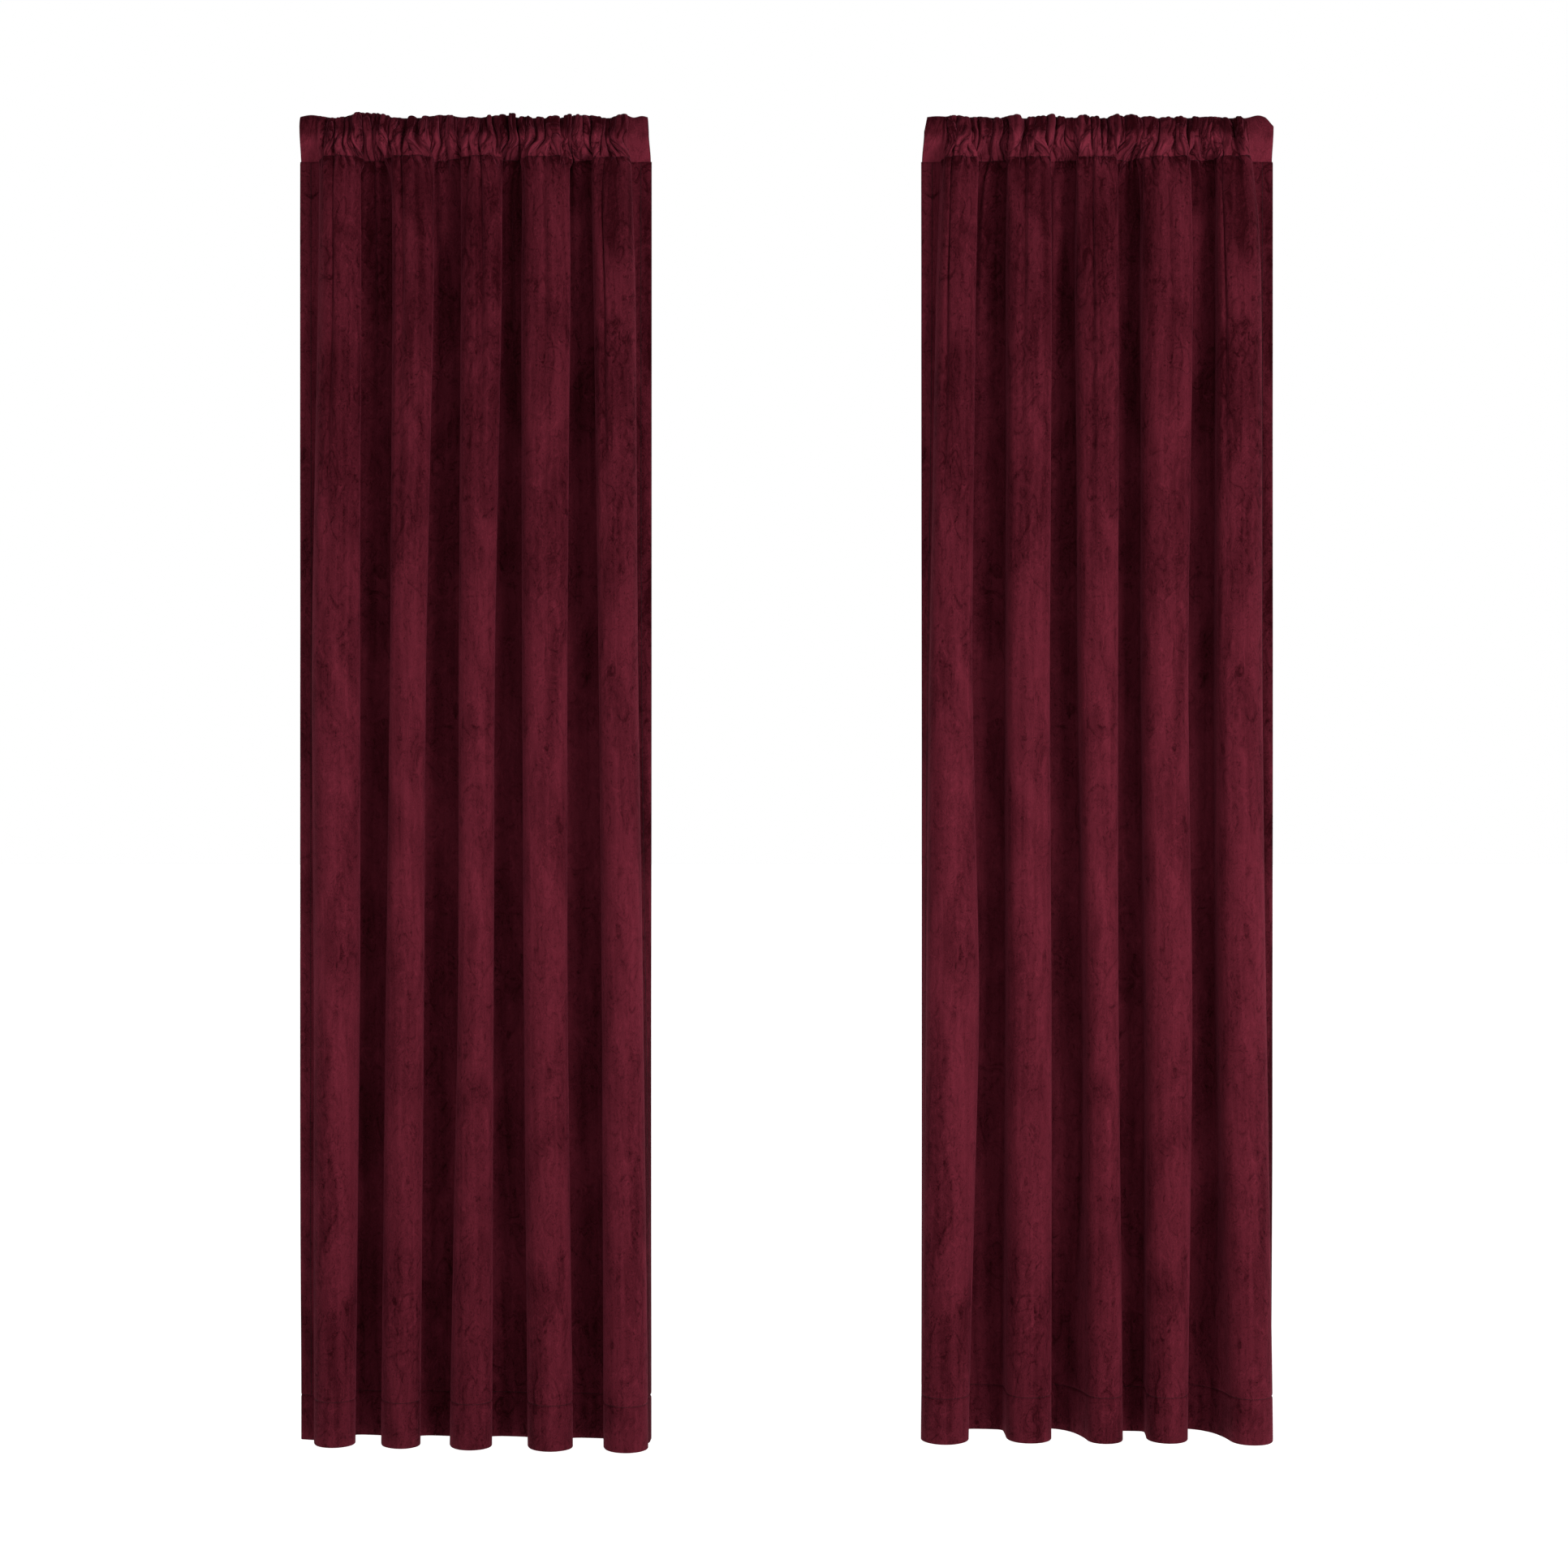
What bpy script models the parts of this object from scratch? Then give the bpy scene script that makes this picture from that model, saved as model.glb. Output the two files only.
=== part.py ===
"""A pair of velvet rod-pocket curtain panels, gathered on one straight rod.

The frame: X runs along the rod, to the right for someone who faces the curtains, -Y points
at that person and +Z is up. The origin is on the rod's axis, half way between the panels.
The rod isn't part of the curtains. Each panel is one cut of velvet with a turned-over pocket
at the top, two turned side hems, a deep bottom hem, four lines of stitching and a care label.
The panels slide along the rod, so each one has its own empty, and the empty is what slides.
"""

import math

import bmesh
import bpy

# The cloth, in metres.
FLAT_WIDTH = 1.32  # side to side before it is gathered
CLOTH = 0.0024  # backing and pile together
GAP = 0.0003  # left between two faces that are sewn or folded together

# One panel as it hangs.
PANEL_WIDTH = 0.566  # gathered, along the rod
PANEL_GAP = 0.439  # between the two panels
LEFT_DROP = 2.132  # top of the rod to the bottom edge
RIGHT_DROP = 2.121

# The pocket and the rod that it takes.
ROD_RADIUS = 0.0125
ROD_EASE = 0.0005  # between the rod's top and the cloth that rests on it
ROD_SLACK = 0.0035  # how much wider than the rod the cloth's inner curve is
POCKET_FLAT = 0.075  # top fold to stitch line, measured along the cloth
POCKET_LAYERS = 0.0008  # between the two walls where they are stitched together
ROD_CLEARANCE = 0.004  # the walls stay apart for this much below the rod
FLAT_SEAM = 0.006  # the front wall hangs straight for this much above the seam
SEAM_OPENING = 0.002  # how much further apart the walls are at that height
SEAM_ALLOWANCE = 0.007  # turned edge below the stitch line
GATHER_COUNT = 14  # small gathers along the pocket
GATHER_RISE = 0.006  # how far a gather stands up over the rod
GATHER_BULGE = 0.008  # how far it stands out at the front and back
FLAT_END = 0.030  # each end of the pocket lies flat

# The hems.
HEM_HEIGHT = 0.076
SIDE_HEM_WIDTH = 0.020
SIDE_STITCH_INSET = 0.004  # from the hem's turned edge
HEM_STITCH_INSET = 0.004  # below the hem's top edge
POCKET_STITCH_INSET = 0.002  # below the line where the walls meet
THREAD_RADIUS = 0.0004
THREAD_LIFT = 0.0003  # between the thread and the pile that it lies on

# The care label, sewn on the back of the outer side hem.
LABEL_WIDTH = 0.016
LABEL_HEIGHT = 0.045
LABEL_THICKNESS = 0.0008
LABEL_LIFT = 0.050  # above the bottom hem

# The folds. Depths run front to back.
STRIP_Y = 0.015  # the flat strip at each edge lies this far behind the rod's axis
STRIP_WIDTH = SIDE_HEM_WIDTH + 0.002  # the first fold starts just past the hem
SEAM_FOLD_DEPTH = 0.049  # just under the pocket
SEAM_REAR_Y = STRIP_Y
HEM_REAR_SHARE = 0.455  # of a full fold's depth that lies behind the rod's axis
CROWN = 0.006  # how much each fold's front is domed
FOLD_RUN = 0.016  # a fold's side takes this much width
FOLD_SETTLE = 0.32  # below this the folds have their full depth

# Each fold: its middle at the pocket and at the hem, its width at the pocket and at the hem,
# all as shares of the gathered width, from the panel's left edge.
LEFT_FOLDS = (
    (0.119, 0.115, 0.122, 0.108),
    (0.329, 0.300, 0.117, 0.108),
    (0.523, 0.502, 0.115, 0.112),
    (0.707, 0.713, 0.130, 0.122),
    (0.890, 0.888, 0.110, 0.112),
)
RIGHT_FOLDS = (
    (0.108, 0.108, 0.104, 0.106),
    (0.300, 0.299, 0.122, 0.122),
    (0.493, 0.511, 0.115, 0.101),
    (0.691, 0.689, 0.130, 0.112),
    (0.888, 0.888, 0.112, 0.114),
)

# How finely the cloth is drawn.
POINTS_ACROSS = 63
FINE_STEPS = 600

# Heights that follow from the sizes above.
POCKET_IN_TOP = ROD_RADIUS + ROD_EASE
POCKET_ARC = ROD_RADIUS + ROD_SLACK
POCKET_R = POCKET_ARC + CLOTH / 2
ARC_Z = POCKET_IN_TOP - POCKET_ARC
SEAM_Z = ARC_Z - (POCKET_FLAT - POCKET_R * math.pi / 2)
ROD_LOW_Z = -ROD_RADIUS - ROD_CLEARANCE

WINE = (0.0835, 0.0103, 0.0205, 1.0)
WINE_BACK = (0.060, 0.0080, 0.0150, 1.0)
THREAD_WINE = (0.030, 0.0035, 0.0070, 1.0)
LABEL_CREAM = (0.78, 0.76, 0.70, 1.0)


def clear_scene():
    for obj in list(bpy.data.objects):
        bpy.data.objects.remove(obj, do_unlink=True)


def material(name, colour, roughness, sheen=0.0):
    made = bpy.data.materials.get(name)
    if made is None:
        made = bpy.data.materials.new(name)
        made.use_nodes = True
        shader = made.node_tree.nodes["Principled BSDF"]
        shader.inputs["Base Color"].default_value = colour
        shader.inputs["Roughness"].default_value = roughness
        shader.inputs["Metallic"].default_value = 0.0
        shader.inputs["Sheen Weight"].default_value = sheen
    made.diffuse_color = colour
    return made


def smooth_step(t):
    t = min(max(t, 0.0), 1.0)
    return t * t * (3 - 2 * t)


def blend(a, b, t):
    return a + (b - a) * t


def line_length(points):
    return sum(math.dist(a, b) for a, b in zip(points, points[1:]))


def spaced(points, count):
    """The same line, drawn with count points an equal length apart."""
    step = line_length(points) / (count - 1)
    found = [points[0]]
    walked = 0.0
    for a, b in zip(points, points[1:]):
        piece = math.dist(a, b)
        while len(found) < count - 1 and walked + piece >= step * len(found):
            t = (step * len(found) - walked) / piece
            found.append((blend(a[0], b[0], t), blend(a[1], b[1], t)))
        walked += piece
    found.append(points[-1])
    return found


def offset_line(points, distance):
    """The line moved sideways, to the back where distance is positive, with its corners mitred."""
    normals = []
    for a, b in zip(points, points[1:]):
        piece = math.dist(a, b)
        normals.append(((a[1] - b[1]) / piece, (b[0] - a[0]) / piece))
    moved = []
    for i, point in enumerate(points):
        before = normals[max(i - 1, 0)]
        after = normals[min(i, len(normals) - 1)]
        x, y = before[0] + after[0], before[1] + after[1]
        scale = 2 * distance / (x * x + y * y)
        moved.append((point[0] + x * scale, point[1] + y * scale))
    return moved


def fold_line(folds, share_down, front_y, rear_y):
    """The cloth seen from above, between its two flat edge strips: one wave for each fold."""
    middles = [blend(f[0], f[1], share_down) * PANEL_WIDTH for f in folds]
    halves = [blend(f[2], f[3], share_down) * PANEL_WIDTH / 2 for f in folds]
    points = []
    folded = PANEL_WIDTH - 2 * STRIP_WIDTH
    for i in range(FINE_STEPS + 1):
        x = STRIP_WIDTH + folded * i / FINE_STEPS
        forward = 0.0
        dome = 0.0
        for middle, half in zip(middles, halves):
            rise = smooth_step((x - middle + half) / FOLD_RUN + 0.5)
            fall = smooth_step((x - middle - half) / FOLD_RUN + 0.5)
            forward += rise - fall
            dome += CROWN * max(0.0, 1 - ((x - middle) / half) ** 2)
        inside = middles[0] < x < middles[-1]
        base = rear_y if inside else STRIP_Y
        points.append((x, blend(base, front_y, forward) - dome))
    return points


def full_fold_ends(folds):
    """Front and rear of the full folds: as deep as the flat width of the cloth fills."""
    to_fill = FLAT_WIDTH - 2 * STRIP_WIDTH
    low, high = SEAM_FOLD_DEPTH, FLAT_WIDTH / len(folds)
    for _ in range(40):
        depth = (low + high) / 2
        rear = depth * HEM_REAR_SHARE
        if line_length(fold_line(folds, 1.0, rear - depth, rear)) < to_fill:
            low = depth
        else:
            high = depth
    rear = low * HEM_REAR_SHARE
    return rear - low, rear


class Panel:
    """One panel's heights, and the line of its cloth at any height."""

    def __init__(self, side, drop, folds):
        self.side = side
        self.folds = folds
        self.bottom = POCKET_IN_TOP - drop
        self.hem_top = self.bottom + HEM_HEIGHT
        self.left = -PANEL_GAP / 2 - PANEL_WIDTH if side == "left" else PANEL_GAP / 2
        front, rear = full_fold_ends(folds)
        settle = SEAM_Z - FOLD_SETTLE
        self.heights = [SEAM_Z, SEAM_Z - SEAM_ALLOWANCE, SEAM_Z - FOLD_SETTLE / 2, settle]
        self.heights += [(settle + self.hem_top) / 2, self.hem_top, self.bottom]
        self.rows = []
        for z in self.heights:
            down = (SEAM_Z - z) / (SEAM_Z - self.bottom)
            settled = smooth_step((SEAM_Z - z) / FOLD_SETTLE)
            front_y = blend(SEAM_REAR_Y - SEAM_FOLD_DEPTH, front, settled)
            rear_y = blend(SEAM_REAR_Y, rear, settled)
            folded = spaced(fold_line(folds, down, front_y, rear_y), POINTS_ACROSS - 2)
            self.rows.append([(0.0, STRIP_Y), *folded, (PANEL_WIDTH, STRIP_Y)])

    def line_at(self, z):
        """The middle of the cloth at this height, between the two rows around it."""
        for i, (high, low) in enumerate(zip(self.heights, self.heights[1:])):
            if high >= z >= low:
                t = (high - z) / (high - low)
                pairs = zip(self.rows[i], self.rows[i + 1])
                return [(blend(a[0], b[0], t), blend(a[1], b[1], t)) for a, b in pairs]
        raise ValueError(f"no cloth at height {z}")

    def layer_row(self, z, back):
        """A row of the layer that lies this far behind the middle of the cloth, in the frame."""
        return [(self.left + x, y, z) for x, y in offset_line(self.line_at(z), back)]


def gather(x):
    """0 in a hollow between two gathers and at the flat ends, 1 on a gather's crest."""
    crest = 0.5 - 0.5 * math.cos(2 * math.pi * GATHER_COUNT * x / PANEL_WIDTH)
    from_end = min(x, PANEL_WIDTH - x)
    return crest * smooth_step((from_end - FLAT_END / 2) / FLAT_END)


def pocket_row(panel, turn, sign):
    """A row round the rod: turn is 0 at the top and a right angle at the front or back."""
    folded = spaced([(STRIP_WIDTH, 0.0), (PANEL_WIDTH - STRIP_WIDTH, 0.0)], POINTS_ACROSS - 2)
    row = []
    for x in (0.0, *(point[0] for point in folded), PANEL_WIDTH):
        out = POCKET_R + GATHER_BULGE * gather(x)
        up = POCKET_R + GATHER_RISE * gather(x)
        y = max(out * math.sin(turn), GAP / 2 + CLOTH / 2)
        row.append((panel.left + x, sign * y, ARC_Z + up * math.cos(turn)))
    return row


def pocket_rows(panel, sign):
    """The four rows round the rod, down to where both walls are clear under it."""
    rows = [pocket_row(panel, math.radians(a), sign) for a in (0, 45, 90)]
    low = [(x, y, ROD_LOW_Z) for x, y, _ in rows[-1]]
    return rows + [low]


def sheet(name, rows, thickness, finish, parent):
    """A layer of cloth: a grid of points through its middle, given its thickness."""
    mesh = bpy.data.meshes.new(name)
    bm = bmesh.new()
    grid = [[bm.verts.new(point) for point in row] for row in rows]
    for upper, lower in zip(grid, grid[1:]):
        for i in range(len(upper) - 1):
            bm.faces.new((upper[i], lower[i], lower[i + 1], upper[i + 1]))
    bm.to_mesh(mesh)
    bm.free()
    mesh.shade_smooth()
    obj = add(name, mesh, finish, parent)
    thick = obj.modifiers.new("cloth thickness", "SOLIDIFY")
    thick.thickness = thickness
    thick.offset = 0.0
    thick.use_even_offset = True
    return obj


def box(name, low, high, finish, parent):
    """A flat strip that hangs straight: a cube stretched between two corners."""
    mesh = bpy.data.meshes.new(name)
    bm = bmesh.new()
    bmesh.ops.create_cube(bm, size=1.0)
    for vert in bm.verts:
        for k in range(3):
            vert.co[k] = low[k] if vert.co[k] < 0 else high[k]
    bm.to_mesh(mesh)
    bm.free()
    return add(name, mesh, finish, parent)


def thread(name, points, finish, parent):
    """A line of stitching: a thin round tube along its points."""
    curve = bpy.data.curves.new(name, "CURVE")
    curve.dimensions = "3D"
    curve.bevel_depth = THREAD_RADIUS
    curve.bevel_resolution = 0
    curve.use_fill_caps = True
    spline = curve.splines.new("POLY")
    spline.points.add(len(points) - 1)
    for made, point in zip(spline.points, points):
        made.co = (*point, 1.0)
    return add(name, curve, finish, parent)


def add(name, data, finish, parent):
    """Puts the shape in the scene under its panel's empty, where it was drawn."""
    obj = bpy.data.objects.new(name, data)
    data.materials.append(finish)
    bpy.context.scene.collection.objects.link(obj)
    obj.parent = parent
    obj.matrix_parent_inverse = parent.matrix_world.inverted()
    return obj


def add_cloth(panel, parent):
    """The face cloth with its pocket: the front wall, and the edge that is turned over."""
    side = panel.side
    velvet = material(f"{side} velvet", WINE, 0.85, sheen=0.6)
    rows = [panel.layer_row(z, 0.0) for z in panel.heights]
    sheet(f"{side}_face_cloth", rows, CLOTH, velvet, parent)

    front = pocket_rows(panel, -1)
    for z in (SEAM_Z + FLAT_SEAM, SEAM_Z + GAP):
        front.append([(x, y, z) for x, y, _ in panel.layer_row(SEAM_Z, 0.0)])
    sheet(f"{side}_pocket_front", front, CLOTH, velvet, parent)

    behind = CLOTH + POCKET_LAYERS
    back = pocket_rows(panel, 1)
    opening = panel.layer_row(SEAM_Z, behind + SEAM_OPENING)
    back.append([(x, y, SEAM_Z + FLAT_SEAM) for x, y, _ in opening])
    back.append(panel.layer_row(SEAM_Z - SEAM_ALLOWANCE, behind))
    reverse = material(f"{side} velvet turned over", WINE_BACK, 0.85, sheen=0.4)
    sheet(f"{side}_pocket_turnover", back, CLOTH, reverse, parent)


def strip_back(layers):
    """How far back the flat strip's surface is, behind this many layers."""
    return STRIP_Y + CLOTH / 2 + layers * (CLOTH + GAP)


def add_hems(panel, parent):
    """The turned-up bottom hem, and the turned-in hem behind the strip at each edge."""
    side = panel.side
    reverse = material(f"{side} hem", WINE_BACK, 0.9, sheen=0.4)
    rows = [panel.layer_row(z, CLOTH + GAP) for z in (panel.hem_top, panel.bottom)]
    sheet(f"{side}_bottom_hem", rows, CLOTH, reverse, parent)

    high = SEAM_Z - SEAM_ALLOWANCE - GAP
    low = panel.hem_top + GAP
    for where, x in hem_edges(panel, SIDE_HEM_WIDTH):
        name = f"{side}_{where}_side_hem"
        box_low = (x, strip_back(0) + GAP, low)
        box_high = (x + SIDE_HEM_WIDTH, strip_back(1), high)
        box(name, box_low, box_high, reverse, parent)


def hem_edges(panel, width):
    """Each edge's name, and the left side of a strip of this width that lies along it."""
    right = panel.left + PANEL_WIDTH - width
    names = ("outer", "inner") if panel.side == "left" else ("inner", "outer")
    return list(zip(names, (panel.left, right)))


def add_stitching(panel, parent):
    """The four lines of stitching, on the face of the cloth."""
    side = panel.side
    sewn = material(f"{side} thread", THREAD_WINE, 0.6)
    forward = -(CLOTH / 2 + THREAD_LIFT + THREAD_RADIUS)
    pocket = panel.layer_row(SEAM_Z - POCKET_STITCH_INSET, forward)
    thread(f"{side}_pocket_stitch", pocket, sewn, parent)
    hem = panel.layer_row(panel.hem_top - HEM_STITCH_INSET, forward)
    thread(f"{side}_hem_stitch", hem, sewn, parent)

    high = SEAM_Z - POCKET_STITCH_INSET - 3 * THREAD_RADIUS
    low = panel.hem_top - HEM_STITCH_INSET + 3 * THREAD_RADIUS
    y = STRIP_Y + forward
    for where, left in hem_edges(panel, 0.0):
        inwards = 1 if left == panel.left else -1
        x = left + inwards * (SIDE_HEM_WIDTH - SIDE_STITCH_INSET)
        thread(f"{side}_{where}_side_stitch", [(x, y, high), (x, y, low)], sewn, parent)


def add_label(panel, parent):
    """A blank care label, flat on the back of the outer side hem, just above the bottom hem."""
    side = panel.side
    cream = material(f"{side} label", LABEL_CREAM, 0.7)
    edge = dict(hem_edges(panel, SIDE_HEM_WIDTH))["outer"]
    x = edge + (SIDE_HEM_WIDTH - LABEL_WIDTH) / 2
    y = strip_back(1) + GAP
    z = panel.hem_top + LABEL_LIFT
    high = (x + LABEL_WIDTH, y + LABEL_THICKNESS, z + LABEL_HEIGHT)
    box(f"{side}_care_label", (x, y, z), high, cream, parent)


def add_panel(side, drop, folds):
    panel = Panel(side, drop, folds)
    carrier = bpy.data.objects.new(f"{side}_panel_carrier", None)
    carrier.location = (panel.left + PANEL_WIDTH / 2, 0.0, 0.0)
    bpy.context.scene.collection.objects.link(carrier)
    bpy.context.view_layer.update()
    add_cloth(panel, carrier)
    add_hems(panel, carrier)
    add_stitching(panel, carrier)
    add_label(panel, carrier)
    return panel


clear_scene()
for side, drop, folds in (
    ("left", LEFT_DROP, LEFT_FOLDS),
    ("right", RIGHT_DROP, RIGHT_FOLDS),
):
    panel = add_panel(side, drop, folds)
    front = min(y for _, y in panel.rows[-1])
    rear = max(y for _, y in panel.rows[-1])
    print(f"{side}: seam {SEAM_Z:.4f}, bottom {panel.bottom:.4f}, folds {front:.4f} to {rear:.4f}")
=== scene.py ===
# %% [markdown]
# # A pair of velvet rod-pocket curtains
#
# Each curtain is one cut of wine-red velvet. Its top edge is turned over to the back and
# sewn down, which leaves a tube, the pocket, that a curtain rod goes through. The cloth is
# more than twice as wide as the stretch of rod that it covers, so it gathers into many small
# puffs on the rod, and hangs below them in five deep folds. The side edges and the bottom
# edge are turned to the back and sewn as well.
#
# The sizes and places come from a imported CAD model, which is loaded first. It stays where it
# is, and everything below is drawn in the same metres: X along the rod, -Y to the viewer, Z up.

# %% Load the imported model
import math

import bpy
import numpy as np
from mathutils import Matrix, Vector


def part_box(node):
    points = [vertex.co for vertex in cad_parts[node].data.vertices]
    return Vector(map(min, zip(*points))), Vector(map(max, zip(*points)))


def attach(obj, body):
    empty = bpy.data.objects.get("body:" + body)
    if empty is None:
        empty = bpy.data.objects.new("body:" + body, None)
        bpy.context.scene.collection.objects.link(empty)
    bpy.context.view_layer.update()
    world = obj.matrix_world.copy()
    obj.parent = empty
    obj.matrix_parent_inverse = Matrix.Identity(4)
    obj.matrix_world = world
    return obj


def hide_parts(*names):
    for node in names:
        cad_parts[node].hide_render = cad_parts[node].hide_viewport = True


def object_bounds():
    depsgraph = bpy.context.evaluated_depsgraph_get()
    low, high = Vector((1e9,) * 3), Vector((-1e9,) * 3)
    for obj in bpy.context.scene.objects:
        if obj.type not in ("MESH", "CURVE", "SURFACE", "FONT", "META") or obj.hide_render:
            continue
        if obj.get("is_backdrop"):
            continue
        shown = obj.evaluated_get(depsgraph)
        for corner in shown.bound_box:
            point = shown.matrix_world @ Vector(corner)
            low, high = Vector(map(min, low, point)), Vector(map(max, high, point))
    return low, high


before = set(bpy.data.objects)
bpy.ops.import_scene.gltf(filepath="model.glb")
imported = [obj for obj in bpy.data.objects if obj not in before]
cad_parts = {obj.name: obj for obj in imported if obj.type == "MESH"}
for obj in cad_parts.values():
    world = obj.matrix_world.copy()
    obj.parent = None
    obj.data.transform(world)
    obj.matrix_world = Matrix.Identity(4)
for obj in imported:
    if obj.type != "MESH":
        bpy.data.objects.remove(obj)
cad_low, cad_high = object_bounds()
SIDES = ("left", "right")
print("nodes to dress:", len(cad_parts))

# %% [markdown]
# ## The camera
#
# The curtains are seen straight on, from about four metres away and from half their height.
# A lens of about 58 mm on a 36 mm sensor frames the pair with a wide margin. The camera comes
# first, because every later choice of detail depends on how large that detail is seen.

# %% Camera
CAMERA_AWAY = 4.1
CAMERA_ASIDE = -0.004
CAMERA_LENS = 58.39
CAMERA_HEIGHT = -1.0575

camera_data = bpy.data.cameras.new("camera")
camera_data.lens = CAMERA_LENS
camera_data.sensor_width = 36.0
camera_data.clip_end = 60.0
camera = bpy.data.objects.new("camera", camera_data)
camera.location = (CAMERA_ASIDE, -CAMERA_AWAY, CAMERA_HEIGHT)
camera.rotation_euler = (math.radians(90), 0.0, 0.0)
bpy.context.scene.collection.objects.link(camera)
bpy.context.scene.camera = camera
print("camera looks along +Y from", tuple(round(v, 3) for v in camera.location))

# %% [markdown]
# ## The cloth's own sizes
#
# These few numbers drive all of the cloth. The cut width and the pocket's size are those of
# the CAD model. Velvet is about a millimetre and a half thick with its pile, and two layers
# that are sewn together lie just over one thickness apart.

# %% Cloth sizes
CUT_WIDTH = 1.32  # side edge to side edge, before gathering
POCKET_CLOTH = 0.157  # the pocket's two walls and the turned edge, along the cloth
VELVET = 0.0016  # thickness
LAYER = 0.0019  # from the middle of one sewn layer to the middle of the next
STRIP = 0.020  # the side hem's width
RAMP = 0.028  # the cloth that turns from the flat strip into the first fold
ROD_RADIUS = 0.0125
LOOP_RADIUS = 0.0155  # the pocket's curve round the rod, to the middle of the cloth

# %% [markdown]
# ## The plan of the folds
#
# Seen from above, a hanging curtain is one long wavy line. What the eye sees from the front
# is where each fold's two side walls stand, so the plan lists those: for a few heights below
# the pocket, the left and right wall of each of the five folds, in millimetres from the
# panel's left edge. The walls wander by a centimetre or so on the way down, as real ones do.
# The second table says how far the two flat edge strips are turned out of the panel's plane.

# %% Fold plan
FOLD_PLAN = {
    "left": (
        (0.00, (33, 102), (153, 219), (264, 329), (363, 437), (473, 535)),
        (0.21, (33, 103), (154, 220), (264, 329), (361, 439), (477, 543)),
        (0.82, (22, 100), (150, 206), (261, 317), (363, 434), (486, 547)),
        (1.35, (25, 98), (142, 202), (260, 315), (366, 434), (492, 556)),
        (2.07, (25, 90), (134, 196), (245, 312), (372, 443), (494, 564)),
    ),
    "right": (
        (0.00, (30, 88), (136, 204), (247, 311), (354, 427), (471, 534)),
        (0.21, (22, 83), (135, 205), (245, 312), (350, 431), (471, 542)),
        (0.82, (10, 76), (135, 201), (250, 311), (351, 423), (472, 543)),
        (1.35, (6, 90), (135, 205), (262, 312), (359, 431), (474, 548)),
        (2.07, (-4, 71), (135, 205), (262, 319), (359, 423), (491, 559)),
    ),
}
EDGE_TURN = {
    "left": ((0.0, 0, 0), (0.21, 0, 0), (0.82, 0, -20), (1.35, 0, -60), (2.07, 8, -88)),
    "right": ((0.0, 0, 0), (0.21, 12, 0), (0.82, 58, 0), (1.35, 72, -30), (2.07, 88, -70)),
}

# %% [markdown]
# ## Small folds and gathers
#
# Three waves of different size add up to the cloth's line. The five large folds run from the
# pocket to the hem. Smaller folds sit between and on them, and die out in the first three
# quarters of a metre below the pocket. The finest wave is the row of gathers on the rod.
#
# Each smaller fold stands where it is seen. Its numbers are the stretch between two walls that
# it is in, its place along that stretch, its half width in millimetres of cloth, and its
# strength: above zero for a small ridge, below zero for a small valley. The gathers are drawn
# from a seeded random row, because no two are alike and none has a place that matters.

# %% Small folds and gathers
SUB_FOLDS = {
    "left": (
        (0, 0.44, 10, -1.1), (2, 0.33, 15, -0.6), (4, 0.52, 15, -0.7), (6, 0.50, 14, -0.6),
        (8, 0.34, 10, -1.0), (1, 0.55, 10, 0.8), (3, 0.50, 14, 0.6), (5, 0.58, 10, 0.8),
        (7, 0.50, 14, 0.5),
    ),
    "right": (
        (0, 0.36, 10, -1.1), (2, 0.42, 15, -0.7), (4, 0.42, 13, -0.8), (6, 0.52, 15, -0.6),
        (8, 0.24, 10, -1.0), (1, 0.50, 12, 0.7), (3, 0.50, 12, 0.8), (5, 0.44, 10, 1.1),
        (7, 0.50, 14, 0.5),
    ),
}
SUB_TURN = ((-1, 0), (-0.75, 1), (-0.15, 0.9), (0.15, -0.9), (0.75, -1), (1, 0))
GATHERS = 34
PLEATS = 76
SEEDS = {"left": 11, "right": 29}
FINE = np.linspace(0.0, CUT_WIDTH, 2641)


def smooth(t):
    t = np.clip(t, 0.0, 1.0)
    return t * t * (3 - 2 * t)


def ripple(across, down, seed, waves=10):
    """A gentle random surface between about -1 and 1, always the same for the same seed."""
    rng = np.random.default_rng(seed)
    total = 0.0
    for _ in range(waves):
        way = rng.uniform(0, 2 * math.pi)
        reach = rng.uniform(0.4, 1.0)
        shift = rng.uniform(0, 2 * math.pi)
        turn = across * math.cos(way) * reach + down * math.sin(way) * reach
        total = total + np.cos(2 * math.pi * turn + shift)
    return total / math.sqrt(waves) / 1.4


def puff_row(count, seed, first, last):
    """Slopes of a row of puffs of uneven width: up one side, over, down the other side."""
    rng = np.random.default_rng(seed)
    widths = rng.uniform(0.45, 1.55, count)
    ends = first + (last - first) * np.concatenate([[0], np.cumsum(widths) / widths.sum()])
    slope = np.zeros_like(FINE)
    for i in range(count):
        inside = (FINE >= ends[i]) & (FINE < ends[i + 1])
        u = (FINE[inside] - ends[i]) / (ends[i + 1] - ends[i])
        crease = np.clip(np.minimum(u, 1 - u) / 0.07, 0, 1)
        slope[inside] = np.cos(math.pi * u) * crease * rng.uniform(0.75, 1.15)
    return slope


print("gathers:", GATHERS, "and pleats:", PLEATS, "on", len(FINE), "points of the cut")

# %% [markdown]
# ## One panel's cloth as a line that keeps its length
#
# A cloth bends but doesn't stretch. So the line isn't drawn by moving points: it is drawn by
# turning. At every point along the cut there is a direction, and the line is what comes of
# walking that way step by step. Its length can't change, whatever the directions are. The
# large folds' directions swing between one side wall and the other, and how far they swing
# is found by trial, so that the gathered line is exactly as wide as the panel.
#
# The turn tables give that direction at shares of a stretch: along a front, which is flat in
# its middle, and along a hollow, whose two sides are steep. Lower down the fronts are rounder,
# and at the hem the hollows are steeper or, in two places, gentler.

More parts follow.
